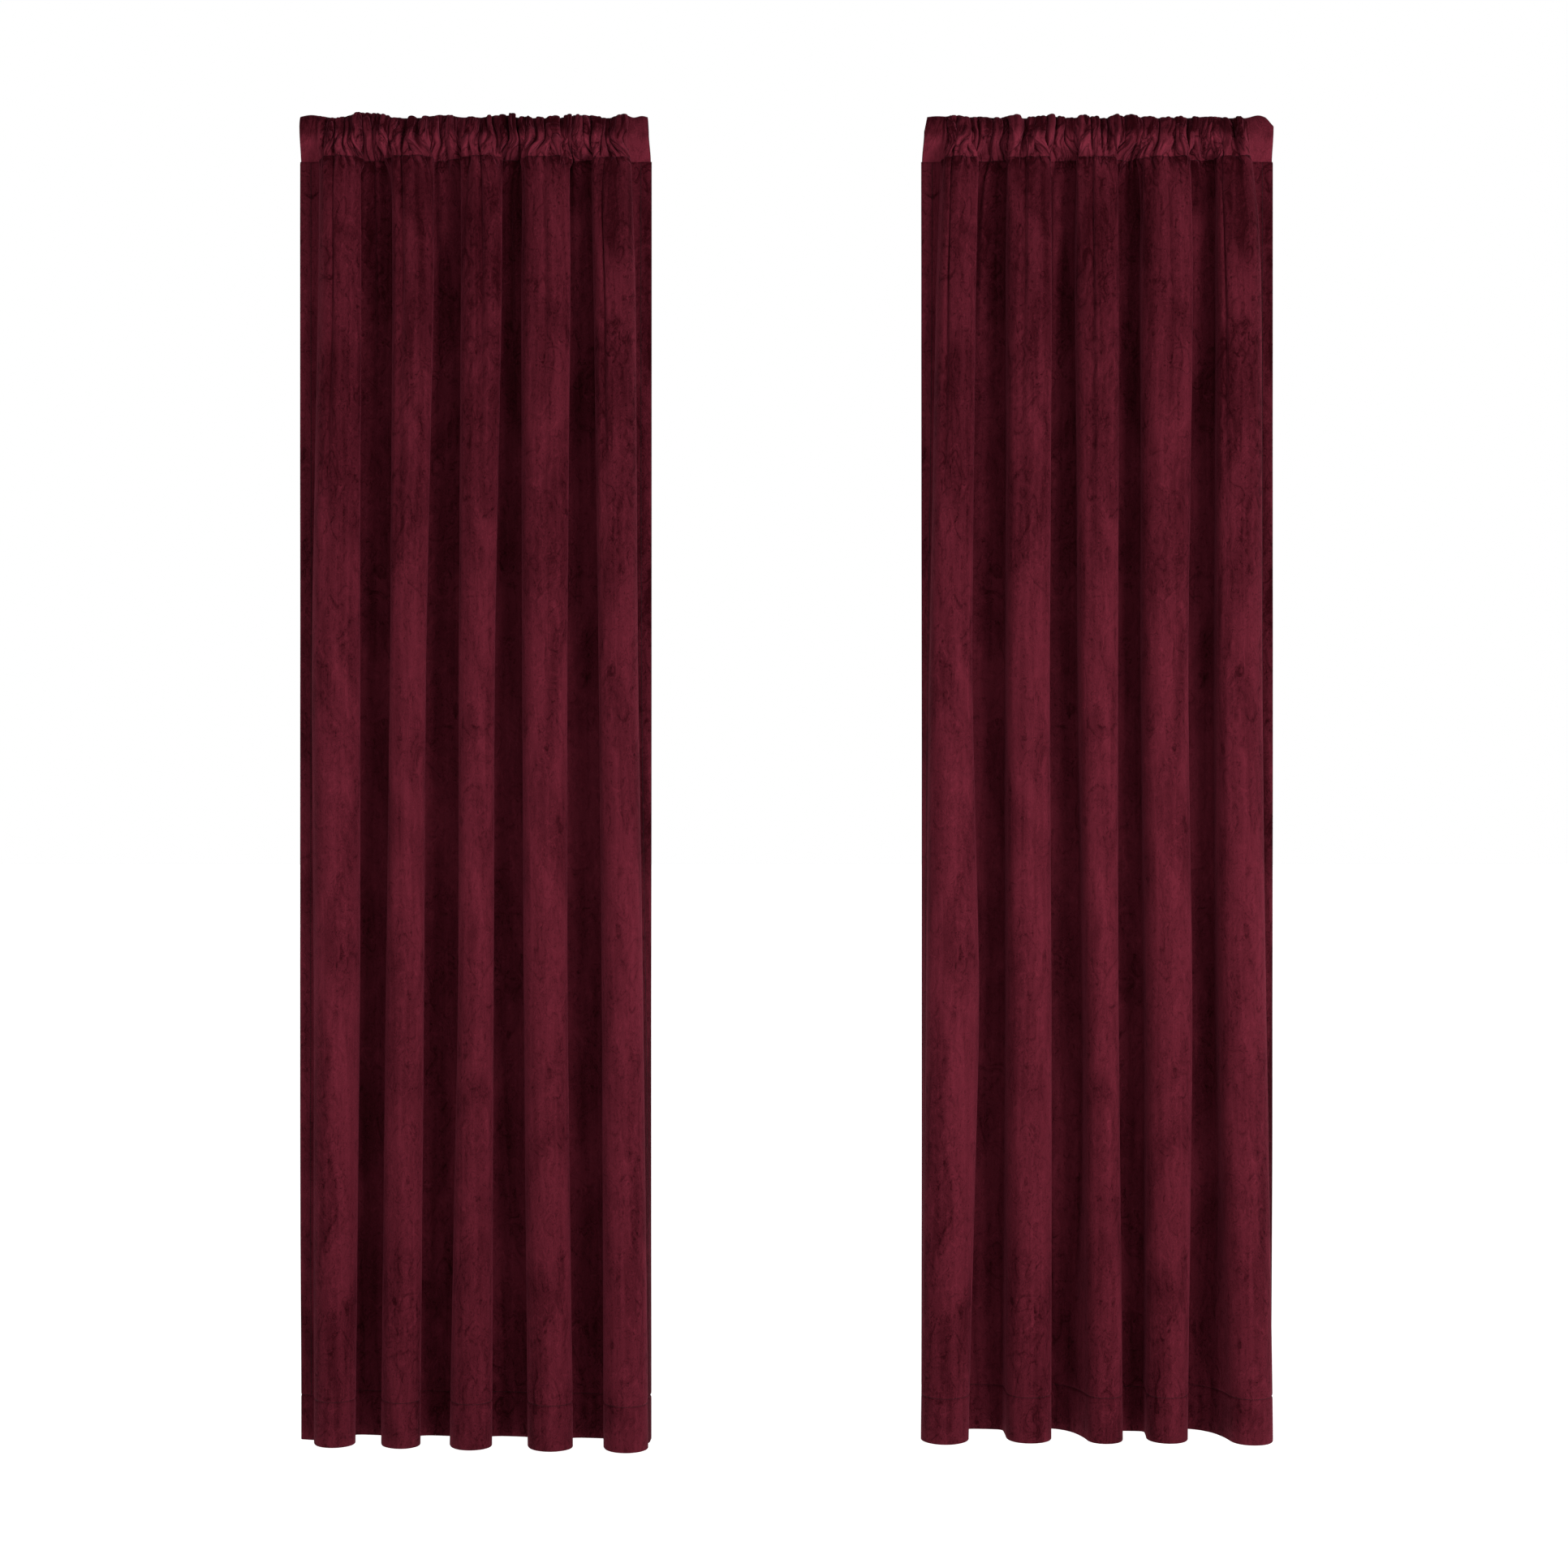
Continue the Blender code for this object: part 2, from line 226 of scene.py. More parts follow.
# %% Turn tables and walking
# %% A panel's line at any depth
SEAM_SWAY = ((0.00, 0.9), (0.05, 1.35), (0.17, 1.25), (0.30, 0.75), (0.50, 0.25), (0.75, 0))
GATHER_SWAY = ((0.00, 1.30), (0.012, 0.95), (0.03, 0.5), (0.07, 0.20), (0.12, 0.05), (0.2, 0))
FRONT_TURN = (
    (0, 1.0), (0.10, 0.72), (0.28, 0.34), (0.52, 0.10), (0.74, -0.10), (0.88, -0.48), (1, -1.45),
)
HOLLOW_TURN = (
    (0, -1.47), (0.28, -1.50), (0.35, -0.40), (0.44, 0.14), (0.60, 0.34), (0.69, 0.56),
    (0.76, 1.26), (0.97, 1.30), (1, 1.0),
)
HEM_HOLLOW_TURN = (
    (0, -1.47), (0.27, -1.46), (0.35, -0.25), (0.46, 0.02), (0.64, 0.08), (0.71, 1.26),
    (0.97, 1.32), (1, 1.0),
)
GENTLE_TURN = (
    (0, -1.47), (0.28, -1.44), (0.36, -0.30), (0.45, 0.16), (0.56, 0.46), (0.74, 0.86), (1, 1.1),
)
GENTLE_AT_HEM = {"left": (), "right": (3, 7)}  # hollows whose right side is gentle at the hem
SEAM_TAKE_UP = ((0.0, 0.60), (0.04, 0.64), (0.1, 0.70), (0.2, 0.80), (0.35, 0.92), (0.6, 1.0))
EDGE_INSET = {"left": 0.0005, "right": 0.0}  # how far the left edge turns in at the hem
FOLD_MIDDLE = ((0.0, -9.5), (0.05, -9.5), (0.35, -6.5), (2.1, -6.5))  # depth, mm from the rod
FRONT_CLOTH = (1.15, 0.024)  # a front takes so many times its width, and this much more
HOLLOW_CLOTH = (0.90, 0.088)
EDGE_CLEAR = 0.016  # between an edge strip and the first gather
ROUND_TURN = 2.45  # how far a round front turns from its left wall to its right one
END_TURN = -1.45  # the direction in which the last fold comes back to the edge strip


def from_steps(steps, depth):
    """Reads a value between given steps, without a kink at any of them."""
    places = np.array([s[0] for s in steps], float)
    values = np.array([s[1:] for s in steps], float)
    reach = np.clip(0.35 * depth + 0.01, 0.01, 0.16)
    near = depth + reach * np.linspace(-1, 1, 9)
    weight = np.cos(np.linspace(-1, 1, 9) * math.pi / 2) + 0.02
    read = np.array([[np.interp(n, places, column) for column in values.T] for n in near])
    return (read * weight[:, None]).sum(0) / weight.sum()


def walk(direction):
    """Walks along the cloth: how far it has gone across and forward at each point."""
    step = FINE[1] - FINE[0]
    cos, sin = np.cos(direction), np.sin(direction)
    across = np.concatenate([[0], np.cumsum((cos[1:] + cos[:-1]) / 2) * step])
    forward = np.concatenate([[0], np.cumsum((sin[1:] + sin[:-1]) / 2) * step])
    return across, forward


print("tables for", len(FRONT_TURN), "turns of a front and", len(HOLLOW_TURN), "of a hollow")

# %% [markdown]
# ### The line of one panel
#
# A panel reads its places from the CAD model, and then gives its cloth's line at any depth.
# Two corrections bend the rule about length. Each wall is moved across to where the plan has
# it, and below the pocket the folds are drawn shallower than their cloth would make them.

# %% A panel's line at any depth


class Panel:
    """One curtain: its places from the CAD model, and its cloth's line at any depth."""

    def __init__(self, side):
        self.side = side
        low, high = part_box(f"{side}_face_cloth")
        self.left, self.width = low.x, high.x - low.x
        self.seam, self.bottom = high.z, low.z
        self.hem_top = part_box(f"{side}_bottom_hem")[1].z
        self.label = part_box(f"{side}_care_label")
        strip_low, strip_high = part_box(f"{side}_outer_side_hem")
        self.strip_y = strip_low.y - (strip_high.y - strip_low.y) / 2 - 0.0003
        first, last = STRIP + EDGE_CLEAR, CUT_WIDTH - STRIP - EDGE_CLEAR
        self.puffs = puff_row(GATHERS, SEEDS[side], first, last)
        self.pleats = puff_row(PLEATS, SEEDS[side] + 1, first, last)
        self.sub_folds = np.zeros_like(FINE)
        walls, _ = self.walls_at(0.12)
        along = self.stations(walls)
        for part, share, half, strength in SUB_FOLDS[side]:
            centre = along[part] + share * (along[part + 1] - along[part])
            u = (FINE - centre) / (half / 1000)
            self.sub_folds += strength * np.interp(u, *np.array(SUB_TURN).T)
        self.rows = {}

    def walls_at(self, depth):
        """The ten side walls and the two edge angles at this depth."""
        steps = [(d, *(x for pair in pairs for x in pair)) for d, *pairs in FOLD_PLAN[self.side]]
        walls = from_steps(steps, depth) / 1000
        return walls, np.radians(from_steps(EDGE_TURN[self.side], depth))

    def stations(self, walls):
        """Where along the cut each wall is, when fronts and hollows share out the cloth."""
        gaps = np.diff(walls)
        gaps[0::2] = gaps[0::2] * FRONT_CLOTH[0] + FRONT_CLOTH[1]
        gaps[1::2] = gaps[1::2] * HOLLOW_CLOTH[0] + HOLLOW_CLOTH[1]
        first, last = STRIP + RAMP, CUT_WIDTH - STRIP - RAMP
        return first + (last - first) * np.concatenate([[0], np.cumsum(gaps) / gaps.sum()])

    def direction(self, swing, walls, edges, depth):
        """Which way the cloth goes at every fine point, in radians from straight across."""
        along = self.stations(walls)
        turn = np.zeros_like(FINE)
        for i, (a, b) in enumerate(zip(along, along[1:])):
            inside = (FINE >= a) & (FINE <= b)
            share = (FINE[inside] - a) / (b - a)
            if i % 2 == 0:
                plain = np.interp(share, *np.array(FRONT_TURN).T)
                other = 1.0 - ROUND_TURN * share
                mixed = 0.62 * smooth((depth - 0.4) / 0.9) + 0.22 * smooth((depth - 1.6) / 0.4)
            else:
                plain = np.interp(share, *np.array(HOLLOW_TURN).T)
                low_turn = GENTLE_TURN if i in GENTLE_AT_HEM[self.side] else HEM_HOLLOW_TURN
                other = np.interp(share, *np.array(low_turn).T)
                mixed = smooth((depth - 1.6) / 0.35)
            turn[inside] = swing * (plain * (1 - mixed) + other * mixed)
        start = FINE < along[0]
        turned = smooth((FINE[start] - STRIP) / RAMP)
        turn[start] = edges[0] + (swing - edges[0]) * turned
        end = FINE > along[-1]
        turned = smooth((CUT_WIDTH - STRIP - FINE[end]) / RAMP)
        turn[end] = edges[1] + (END_TURN * swing - edges[1]) * turned
        sub = from_steps(SEAM_SWAY, depth)[0]
        fine = from_steps(GATHER_SWAY, depth)[0]
        return turn + sub * self.sub_folds + fine * self.puffs

    def line(self, depth):
        """The cloth's line at this depth below the seam: x and forward, at every fine point."""
        key = round(float(depth), 5)
        if key in self.rows:
            return self.rows[key]
        walls, edges = self.walls_at(depth)
        low, high = 0.1, 2.2
        for _ in range(24):
            swing = (low + high) / 2
            across, forward = walk(self.direction(swing, walls, edges, depth))
            low, high = (swing, high) if across[-1] > self.width else (low, swing)
        along = self.stations(walls)
        knots = np.array([0, STRIP, *along, CUT_WIDTH - STRIP, CUT_WIDTH])
        raw = np.interp(knots, FINE, across)
        strip_end = self.width - (raw[-1] - raw[-2])
        hang = smooth((depth - 1.55) / 0.45)
        inset = EDGE_INSET[self.side] * hang
        wanted = np.array([inset, raw[1] + inset, *walls, strip_end, self.width])
        raw_line = across
        for _ in range(4):
            across = raw_line + np.interp(FINE, knots, wanted - raw)
            for i in range(0, len(walls), 2):
                front = (FINE >= along[i]) & (FINE <= along[i + 1] + 0.02)
                wanted[2 + i] += walls[i] - across[front].min()
                wanted[3 + i] += walls[i + 1] - across[front].max()
        forward = forward - forward[-1] * FINE / CUT_WIDTH
        forward = forward * from_steps(SEAM_TAKE_UP, depth)[0]
        middle = self.strip_y - (forward.max() + forward.min()) / 2
        lift = middle - from_steps(FOLD_MIDDLE, depth)[0] / 1000
        free = smooth((FINE - STRIP) / 0.07) * smooth((CUT_WIDTH - STRIP - FINE) / 0.07)
        forward = forward + lift * (free * (1 - hang) + hang)
        self.rows[key] = across, forward
        return across, forward

    def points(self, depth, cut, back=0.0):
        """Points of the cloth at this depth, at these places along the cut, moved back."""
        across, forward = self.line(depth)
        x = np.interp(cut, FINE, across)
        y = -np.interp(cut, FINE, forward)
        if back:
            step = 0.0015
            xa, xb = (np.interp(cut + d, FINE, across) for d in (-step, step))
            ya, yb = (-np.interp(cut + d, FINE, forward) for d in (-step, step))
            size = np.hypot(xb - xa, yb - ya) + 1e-9
            x = x - back * (yb - ya) / size
            y = y + back * (xb - xa) / size
        return self.left + x, self.strip_y + y


panels = {side: Panel(side) for side in SIDES}
for side, panel in panels.items():
    across, forward = panel.line(1.6)
    depth = forward.max() - forward.min()
    print(side, "panel: folds", round(depth * 1000), "mm deep low down")

# %% [markdown]
# ## Turning rows of points into cloth
#
# A sheet is a grid: every row is the line at one height, and neighbouring rows are joined by
# four-sided faces. The grid is the middle of the cloth, and a Solidify modifier gives it its
# thickness. Each point also keeps its place on the flat cut as a UV coordinate in metres, so
# that the pile's pattern follows the cloth into every fold, as it does on real velvet.

# %% Sheets from rows


def link(obj):
    bpy.context.scene.collection.objects.link(obj)
    return obj


def sheet_mesh(name, grid, cut, run, finishes, thickness=VELVET):
    """grid holds rows x columns x 3 points; cut and run are the flat places of columns and rows."""
    grid = np.asarray(grid)
    rows, columns = grid.shape[:2]
    index = np.arange(rows * columns).reshape(rows, columns)
    faces = np.stack(
        [index[:-1, :-1], index[1:, :-1], index[1:, 1:], index[:-1, 1:]], axis=-1
    ).reshape(-1, 4)
    mesh = bpy.data.meshes.new(name)
    mesh.vertices.add(rows * columns)
    mesh.vertices.foreach_set("co", grid.reshape(-1).astype(np.float32))
    mesh.loops.add(faces.size)
    mesh.loops.foreach_set("vertex_index", faces.reshape(-1).astype(np.int32))
    mesh.polygons.add(len(faces))
    mesh.polygons.foreach_set("loop_start", np.arange(0, faces.size, 4, dtype=np.int32))
    mesh.update(calc_edges=True)
    flat = np.stack(np.meshgrid(cut, run), axis=-1).reshape(-1, 2)
    layer = mesh.uv_layers.new(name="cut")
    layer.data.foreach_set("uv", flat[faces.reshape(-1)].reshape(-1).astype(np.float32))
    mesh.validate()
    mesh.shade_smooth()
    for finish in finishes:
        mesh.materials.append(finish)
    obj = link(bpy.data.objects.new(name, mesh))
    solid = obj.modifiers.new("cloth thickness", "SOLIDIFY")
    solid.thickness = thickness
    solid.offset = 0.0
    solid.use_even_offset = False
    solid.material_offset = 1 if len(finishes) > 1 else 0
    print(name, len(mesh.polygons), "faces")
    return obj


print("sheets are made as grids, with the flat cut in the UV map")

# %% [markdown]
# ## Helpers for node trees
#
# A finish is a small tree of nodes. These helpers add a node, set or link its inputs and hand
# back its output, so that a finish can be written as a few sums and products.

# %% Node helpers


def give(tree, node, inputs):
    """Sets each named input of a node, or links it where the value is another output."""
    for key, value in dict(inputs).items():
        if isinstance(value, bpy.types.NodeSocket):
            tree.links.new(value, node.inputs[key])
        else:
            node.inputs[key].default_value = value


def add_node(tree, kind, inputs=(), **settings):
    node = tree.nodes.new(kind)
    for key, value in settings.items():
        setattr(node, key, value)
    give(tree, node, inputs)
    return node


def new_finish(name):
    """A new material, its node tree and its shader."""
    made = bpy.data.materials.new(name)
    made.use_nodes = True
    return made, made.node_tree, made.node_tree.nodes["Principled BSDF"]


def flat_noise(tree, place, across, down, detail, rough, twist=0.0):
    """Noise that varies this many times in a metre across and down the cut."""
    scaled = add_node(tree, "ShaderNodeMapping", {"Vector": place, "Scale": (across, down, 1.0)})
    inputs = {
        "Vector": scaled.outputs["Vector"],
        "Scale": 1.0,
        "Detail": detail,
        "Roughness": rough,
        "Distortion": twist,
    }
    return add_node(tree, "ShaderNodeTexNoise", inputs, noise_dimensions="2D").outputs["Fac"]


def ranged(tree, value, low, high, to_low, to_high):
    """A soft step: to_low where the value is under low, to_high where it is over high."""
    inputs = {"Value": value, "From Min": low, "From Max": high}
    inputs.update({"To Min": to_low, "To Max": to_high})
    made = add_node(tree, "ShaderNodeMapRange", inputs, interpolation_type="SMOOTHSTEP")
    return made.outputs["Result"]


def maths(tree, operation, first, second=0.0):
    made = add_node(tree, "ShaderNodeMath", {0: first, 1: second}, operation=operation)
    return made.outputs["Value"]


def sum_of(tree, first, second):
    return maths(tree, "ADD", first, second)


def product_of(tree, first, second):
    return maths(tree, "MULTIPLY", first, second)


def distance(tree, value, middle):
    """How far a value is from a middle one. For noise it is zero along wandering lines."""
    return maths(tree, "ABSOLUTE", maths(tree, "SUBTRACT", value, middle))


def blend(tree, share, first, second):
    inputs = {"Factor": share, "A": (*first, 1.0), "B": (*second, 1.0)}
    made = add_node(tree, "ShaderNodeMix", inputs, data_type="RGBA", clamp_factor=True)
    return made.outputs["Result"]


def bumped(tree, height, strength, deep, **under):
    """A bump of this height, on top of the one that is given as Normal, if any."""
    inputs = {"Height": height, "Strength": strength, "Distance": deep, **under}
    return add_node(tree, "ShaderNodeBump", inputs).outputs["Normal"]


print("helpers for node trees are ready")

# %% [markdown]
# ## Velvet
#
# Velvet is a woven ground with a standing pile. Light that meets the pile from the side is
# scattered back, so the cloth glows along the edge of each fold: that is the sheen. Where the
# pile has been stroked or crushed it leans another way and looks darker or lighter: in soft
# patches, in long streaks down the cloth and in small marks. Thin creases are a bump with
# painted shade along them.
#
# Those are colour changes, made of noise at several sizes. Painted light and shade go into the
# same colour: painted shade towards the pocket and the hem, painted light on the lower half of
# the pocket's front, painted highlights on the pocket's crests with painted shade in its creases,
# painted shade on the right edge strip and painted light on the left one near the top. The
# pile itself is a very fine bump.

# %% Velvet
NOISES = {  # times in a metre across and down the cut, detail, roughness and twist
    "patches": (11.0, 4.0, 3.0, 0.5, 0.8),
    "streaks": (70.0, 5.0, 4.0, 0.6, 0.5),
    "marks": (42.0, 26.0, 6.0, 0.68, 1.8),
    "fine": (150.0, 95.0, 4.0, 0.65, 2.0),
    "pile": (900.0, 700.0, 3.0, 0.7),
    "wander": (10.0, 6.0, 2.0, 0.5, 0.9),
    "where": (9.0, 5.0, 2.0, 0.5),
    "crumple": (28.0, 15.0, 2.5, 0.55, 1.1),
}
PILE_LEAN_AND_PAINTED_SHADE = (  # what is read, between which two values, and how far the colour moves at each: the pile's random lean, and painted shade by height
    ("patches", 0.30, 0.70, -0.14, 0.14),
    ("streaks", 0.25, 0.75, -0.10, 0.10),
    ("marks", 0.26, 0.48, -0.26, 0.0),
    ("marks", 0.54, 0.72, 0.0, 0.16),
    ("fine", 0.28, 0.46, -0.28, 0.0),
    ("fine", 0.56, 0.72, 0.0, 0.18),
    ("pile", 0.2, 0.8, -0.12, 0.12),
    # Painted shade by height: darker towards the pocket, more so just under it, and darker towards
    # the hem.
    ("drop", -1.10, -0.10, 0.0, -0.22),
    ("drop", -0.20, -0.02, 0.0, -0.06),
    ("drop", -2.05, -1.25, -0.17, 0.0),
)
UPRIGHT = 0.515  # the share of the light colour where the pile doesn't lean


def painted_panel_light(tree, place, drop, fold, on_pocket):
    """Painted light and shade on the pocket and along the two edge strips."""
    pocket = maths(tree, "GREATER_THAN", drop, 0.0)
    # Painted light and shade on the pocket: its front lighter in the lower part than over the rod,
    # the painted light weaker near the right end.
    painted_pocket_light = ranged(tree, drop, 0.024, 0.046, 0.54, -0.02)
    painted_pocket_light = product_of(tree, painted_pocket_light, ranged(tree, place, 1.25, 1.28, 1.0, 0.62))
    # Painted highlights on the pocket's crumpled crests and painted shade in the creases between
    # them.
    painted_crest_and_crease = ranged(tree, fold, 0.05, 0.16, -0.20, 0.10)
    painted_crest_and_crease = sum_of(tree, painted_crest_and_crease, ranged(tree, fold, 0.0, 0.026, -0.50, 0.0))
    # Painted shade on the strip along the right edge, three times as strong in the lower part.
    painted_strip_shade = ranged(tree, place, 1.275, 1.298, 0.0, -0.10)
    painted_strip_shade = product_of(tree, painted_strip_shade, ranged(tree, drop, -0.75, -0.40, 3.0, 1.0))
    # Painted light on the strip along the left edge near the top, where it lies in the first fold's
    # shadow.
    turned = ranged(tree, place, 0.024, 0.044, 1.0, 0.0)
    turned = product_of(tree, turned, ranged(tree, drop, -0.95, -0.30, 0.0, 0.18))
    below = maths(tree, "SUBTRACT", 1.0, pocket)
    upper = sum_of(tree, product_of(tree, pocket, painted_pocket_light), product_of(tree, painted_crest_and_crease, on_pocket))
    return sum_of(tree, upper, product_of(tree, below, sum_of(tree, painted_strip_shade, turned)))


def velvet(name, dark, light, sheen, tint, grain):
    """A pile cloth: dark and light are the pile's colours as it leans away and towards; the share
    between them also carries painted light and shade.
    """
    made, tree, shader = new_finish(name)
    cut = add_node(tree, "ShaderNodeUVMap", uv_map="cut").outputs["UV"]
    flat = add_node(tree, "ShaderNodeSeparateXYZ", {"Vector": cut}).outputs
    place, drop = flat["X"], flat["Y"]
    read = {key: flat_noise(tree, cut, *values) for key, values in NOISES.items()}
    read["drop"] = drop
    fold = distance(tree, read["crumple"], 0.5)
    from_middle = distance(tree, place, CUT_WIDTH / 2)
    gathered = ranged(tree, from_middle, 0.60, 0.625, 1.0, 0.0)
    on_pocket = product_of(tree, ranged(tree, drop, -0.03, 0.004, 0.0, 1.0), gathered)
    # Thin wandering creases: a bump, and painted shade along them.
    crease = ranged(tree, distance(tree, read["wander"], 0.5), 0.0, 0.022, 1.0, 0.0)
    crease = product_of(tree, crease, ranged(tree, read["where"], 0.57, 0.68, 0.0, 0.7))
    lean = product_of(tree, crease, -0.18)
    # lean gathers the pile's random lean, the painted shade by height and the panel's painted light
    # and shade.
    for key, *limits in PILE_LEAN_AND_PAINTED_SHADE:
        lean = sum_of(tree, lean, ranged(tree, read[key], *limits))
    # Adds the painted light and shade of the pocket and the edge strips.
    lean = sum_of(tree, lean, painted_panel_light(tree, place, drop, fold, on_pocket))
    crushed = sum_of(tree, maths(tree, "SUBTRACT", read["marks"], crease), read["fine"])
    puffed = product_of(tree, ranged(tree, fold, 0.0, 0.14, 0.0, 1.0), on_pocket)
    normal = bumped(tree, read["pile"], 0.35, grain)
    normal = bumped(tree, crushed, 0.6, 0.0022, Normal=normal)
    normal = bumped(tree, puffed, 1.0, 0.0042, Normal=normal)
    inputs = {
        "Base Color": blend(tree, sum_of(tree, lean, UPRIGHT), dark, light),
        "Normal": normal,
        "Roughness": 0.86,
        "Specular IOR Level": 0.02,
        "Sheen Weight": sheen,
        "Sheen Roughness": 0.38,
        "Sheen Tint": (*tint, 1.0),
    }
    give(tree, shader, inputs)
    return made


PILE = velvet(
    "velvet", (0.016, 0.0009, 0.0022), (0.122, 0.0140, 0.0255), 0.17, (0.70, 0.11, 0.19), 0.0003
)
REVERSE = velvet(
    "velvet_reverse", (0.022, 0.0025, 0.005), (0.070, 0.010, 0.017), 0.12, (0.6, 0.2, 0.25), 0.0005
)
print("velvet:", PILE.name, "and its back:", REVERSE.name)

# %% [markdown]
# ## The face of each curtain
#
# The face hangs from the seam under the pocket to the bottom edge. Rows are close together
# under the pocket, where the gathers open into folds, and further apart below. Two small
# touches make it look sewn: the stitched line under the pocket and the one above the hem draw
# the cloth in by about a millimetre, and each edge rolls round to meet its hem at the back.

# %% Face cloth
COLUMNS = 396
EDGE_ROLL = LAYER / 2
SEAM_DENT = 0.0018
HEM_STITCH_BELOW = 0.004
ROLL_TURNS = (math.pi / 3, 2 * math.pi / 3, math.pi)


def face_depths(panel):
    """Depths of the rows below the seam, finest where the cloth changes most."""
    drop = panel.seam - panel.bottom
    hem = drop - (panel.hem_top - panel.bottom) + HEM_STITCH_BELOW
    top = np.concatenate([np.arange(0, 0.012, 0.0012), np.arange(0.012, 0.13, 0.0055)])
    middle = np.concatenate([np.arange(0.13, 0.46, 0.0115), np.arange(0.46, hem - 0.03, 0.03)])
    close = np.array([0.0012, 0.0025, 0.005, 0.01, 0.02])
    low = hem + np.concatenate([-close, [0], close, [0.035, 0.05]])
    depths = np.unique(np.concatenate([top, middle, low, [drop - EDGE_ROLL]]).round(6))
    return depths[depths <= drop - EDGE_ROLL], hem


def wrapped_row(panel, depth, cut, back=0.0):
    """A row of points, with three more at each edge that roll round to the back."""
    x, y = panel.points(depth, cut, back)
    row = np.stack([x, y], axis=1)
    for end in (0, -1):
        near = row[1] if end == 0 else row[-2]
        inward = near - row[end]
        inward = inward / np.linalg.norm(inward)
        behind = np.array([-inward[1], inward[0]]) * (1 if end == 0 else -1)
        rolled = [
            row[end]
            + behind * EDGE_ROLL * (1 - math.cos(a))
            - inward * EDGE_ROLL * math.sin(a)
            for a in ROLL_TURNS
        ]
        row = np.concatenate([rolled[::-1], row]) if end == 0 else np.concatenate([row, rolled])
    return row


def dent(depth, at, reach=0.0018):
    """How far a line of stitches at one depth draws in the cloth at another."""
    return SEAM_DENT * math.exp(-(((depth - at) / reach) ** 2))


def flutter(panel, cut, depth):
    """The slight unevenness of a hanging cloth, in metres: more in the free drop."""
    free = smooth(np.asarray(depth) / 0.5)
    seed = SEEDS[panel.side]
    broad = ripple(cut * 9.0, depth * 1.6, seed + 2)
    small = ripple(cut * 26.0, depth * 6.0, seed + 3)
    return (0.0011 * broad + 0.00035 * small) * free + 0.0004 * small * (1 - free)


def add_face(panel):
    cut = np.linspace(0.0, CUT_WIDTH, COLUMNS + 1)
    roll = EDGE_ROLL * np.array(ROLL_TURNS[::-1])
    cut_all = np.concatenate([-roll, cut, CUT_WIDTH + roll[::-1]])
    depths, hem = face_depths(panel)
    last = depths[-1]
    laid = [(depth, dent(depth, 0.0) + dent(depth, hem), 0.0, depth) for depth in depths]
    for turn in ROLL_TURNS:
        back, lower = EDGE_ROLL * (1 - math.cos(turn)), EDGE_ROLL * math.sin(turn)
        laid.append((last, back, lower, last + EDGE_ROLL * turn))
    grid = []
    for depth, back, lower, _ in laid:
        row = wrapped_row(panel, depth, cut, back)
        push = flutter(panel, cut_all, depth)
        z = np.full(len(row), panel.seam - depth - lower)
        grid.append(np.column_stack([row[:, 0], row[:, 1] - push, z]))
    run = [-flat for *_, flat in laid]
    return sheet_mesh(f"{panel.side}_face_velvet", grid, cut_all, run, (PILE, REVERSE))


faces = {side: add_face(panel) for side, panel in panels.items()}

# %% [markdown]
# ## The pocket
#
# The pocket is the same cloth, carried on over the rod and down the back to the seam. At the
# seam it has the line of the face below it. Round the rod it is a row of puffs that stand out
# from a straight line, and over the top it is drawn up into finer pleats. Each row of points
# is a blend between those lines, so a puff changes its width and leans as it climbs. Short
# slanted pinches are pressed into the front. The uneven outline along the top comes from a
# few wide humps, where the cloth stands off the rod: each has its middle, its height and its
# half width, in millimetres from the panel's left edge.

# %% Pocket lines
TOP_HUMPS = {
    "left": (
        (20, 6, 26), (100, 10, 28), (124, 5, 16), (190, 0.5, 30), (232, 7, 30), (280, 1.5, 22),
        (329, 5.5, 30), (385, 0.5, 20), (460, 7, 28), (524, 7.5, 14), (556, 4, 14),
    ),
    "right": (
        (20, 4, 30), (52, 5, 16), (90, 3, 20), (136, 3.5, 16), (204, 3.5, 20), (262, 0.5, 26),
        (314, 2, 14), (344, 0.5, 22), (392, 0.5, 26), (425, 0.5, 16), (464, 4, 26), (553, 5, 18),
    ),
}
HUMP_BASE = 0.0004
END_INSET = 0.0032  # the pocket's ends are drawn in a little on the rod
TOP_CORNERS = {"left": (0.0005, 0.001), "right": (0.004, 0.014)}
PINCHES = 130


def hump_height(panel, x):
    """How far the cloth's crests stand off the rod along the top."""
    height = np.full_like(x, HUMP_BASE)
    for middle, high, half in TOP_HUMPS[panel.side]:
        height = height + high / 1000 * np.exp(-(((x * 1000 - middle) / half) ** 2) * 1.4)
    return height


def pocket_line(panel, puffs, pleats):
    """The cloth's line round the rod: across, and out from the rod."""
    slopes = puffs * panel.puffs + pleats * panel.pleats
    low, high = 0.1, 4.0
    for _ in range(24):
        sway = (low + high) / 2
        across, out = walk(sway * slopes)
        low, high = (sway, high) if across[-1] > panel.width else (low, sway)
    seam_across, _ = panel.line(0.0)
    knots = np.linspace(0, CUT_WIDTH, 12)
    shift = np.interp(knots, FINE, seam_across) - np.interp(knots, FINE, across)
    shift[0] = shift[-1] = 0.0
    across = across + np.interp(FINE, knots, shift)
    return across, np.maximum(out - out[-1] * FINE / CUT_WIDTH, 0.0)


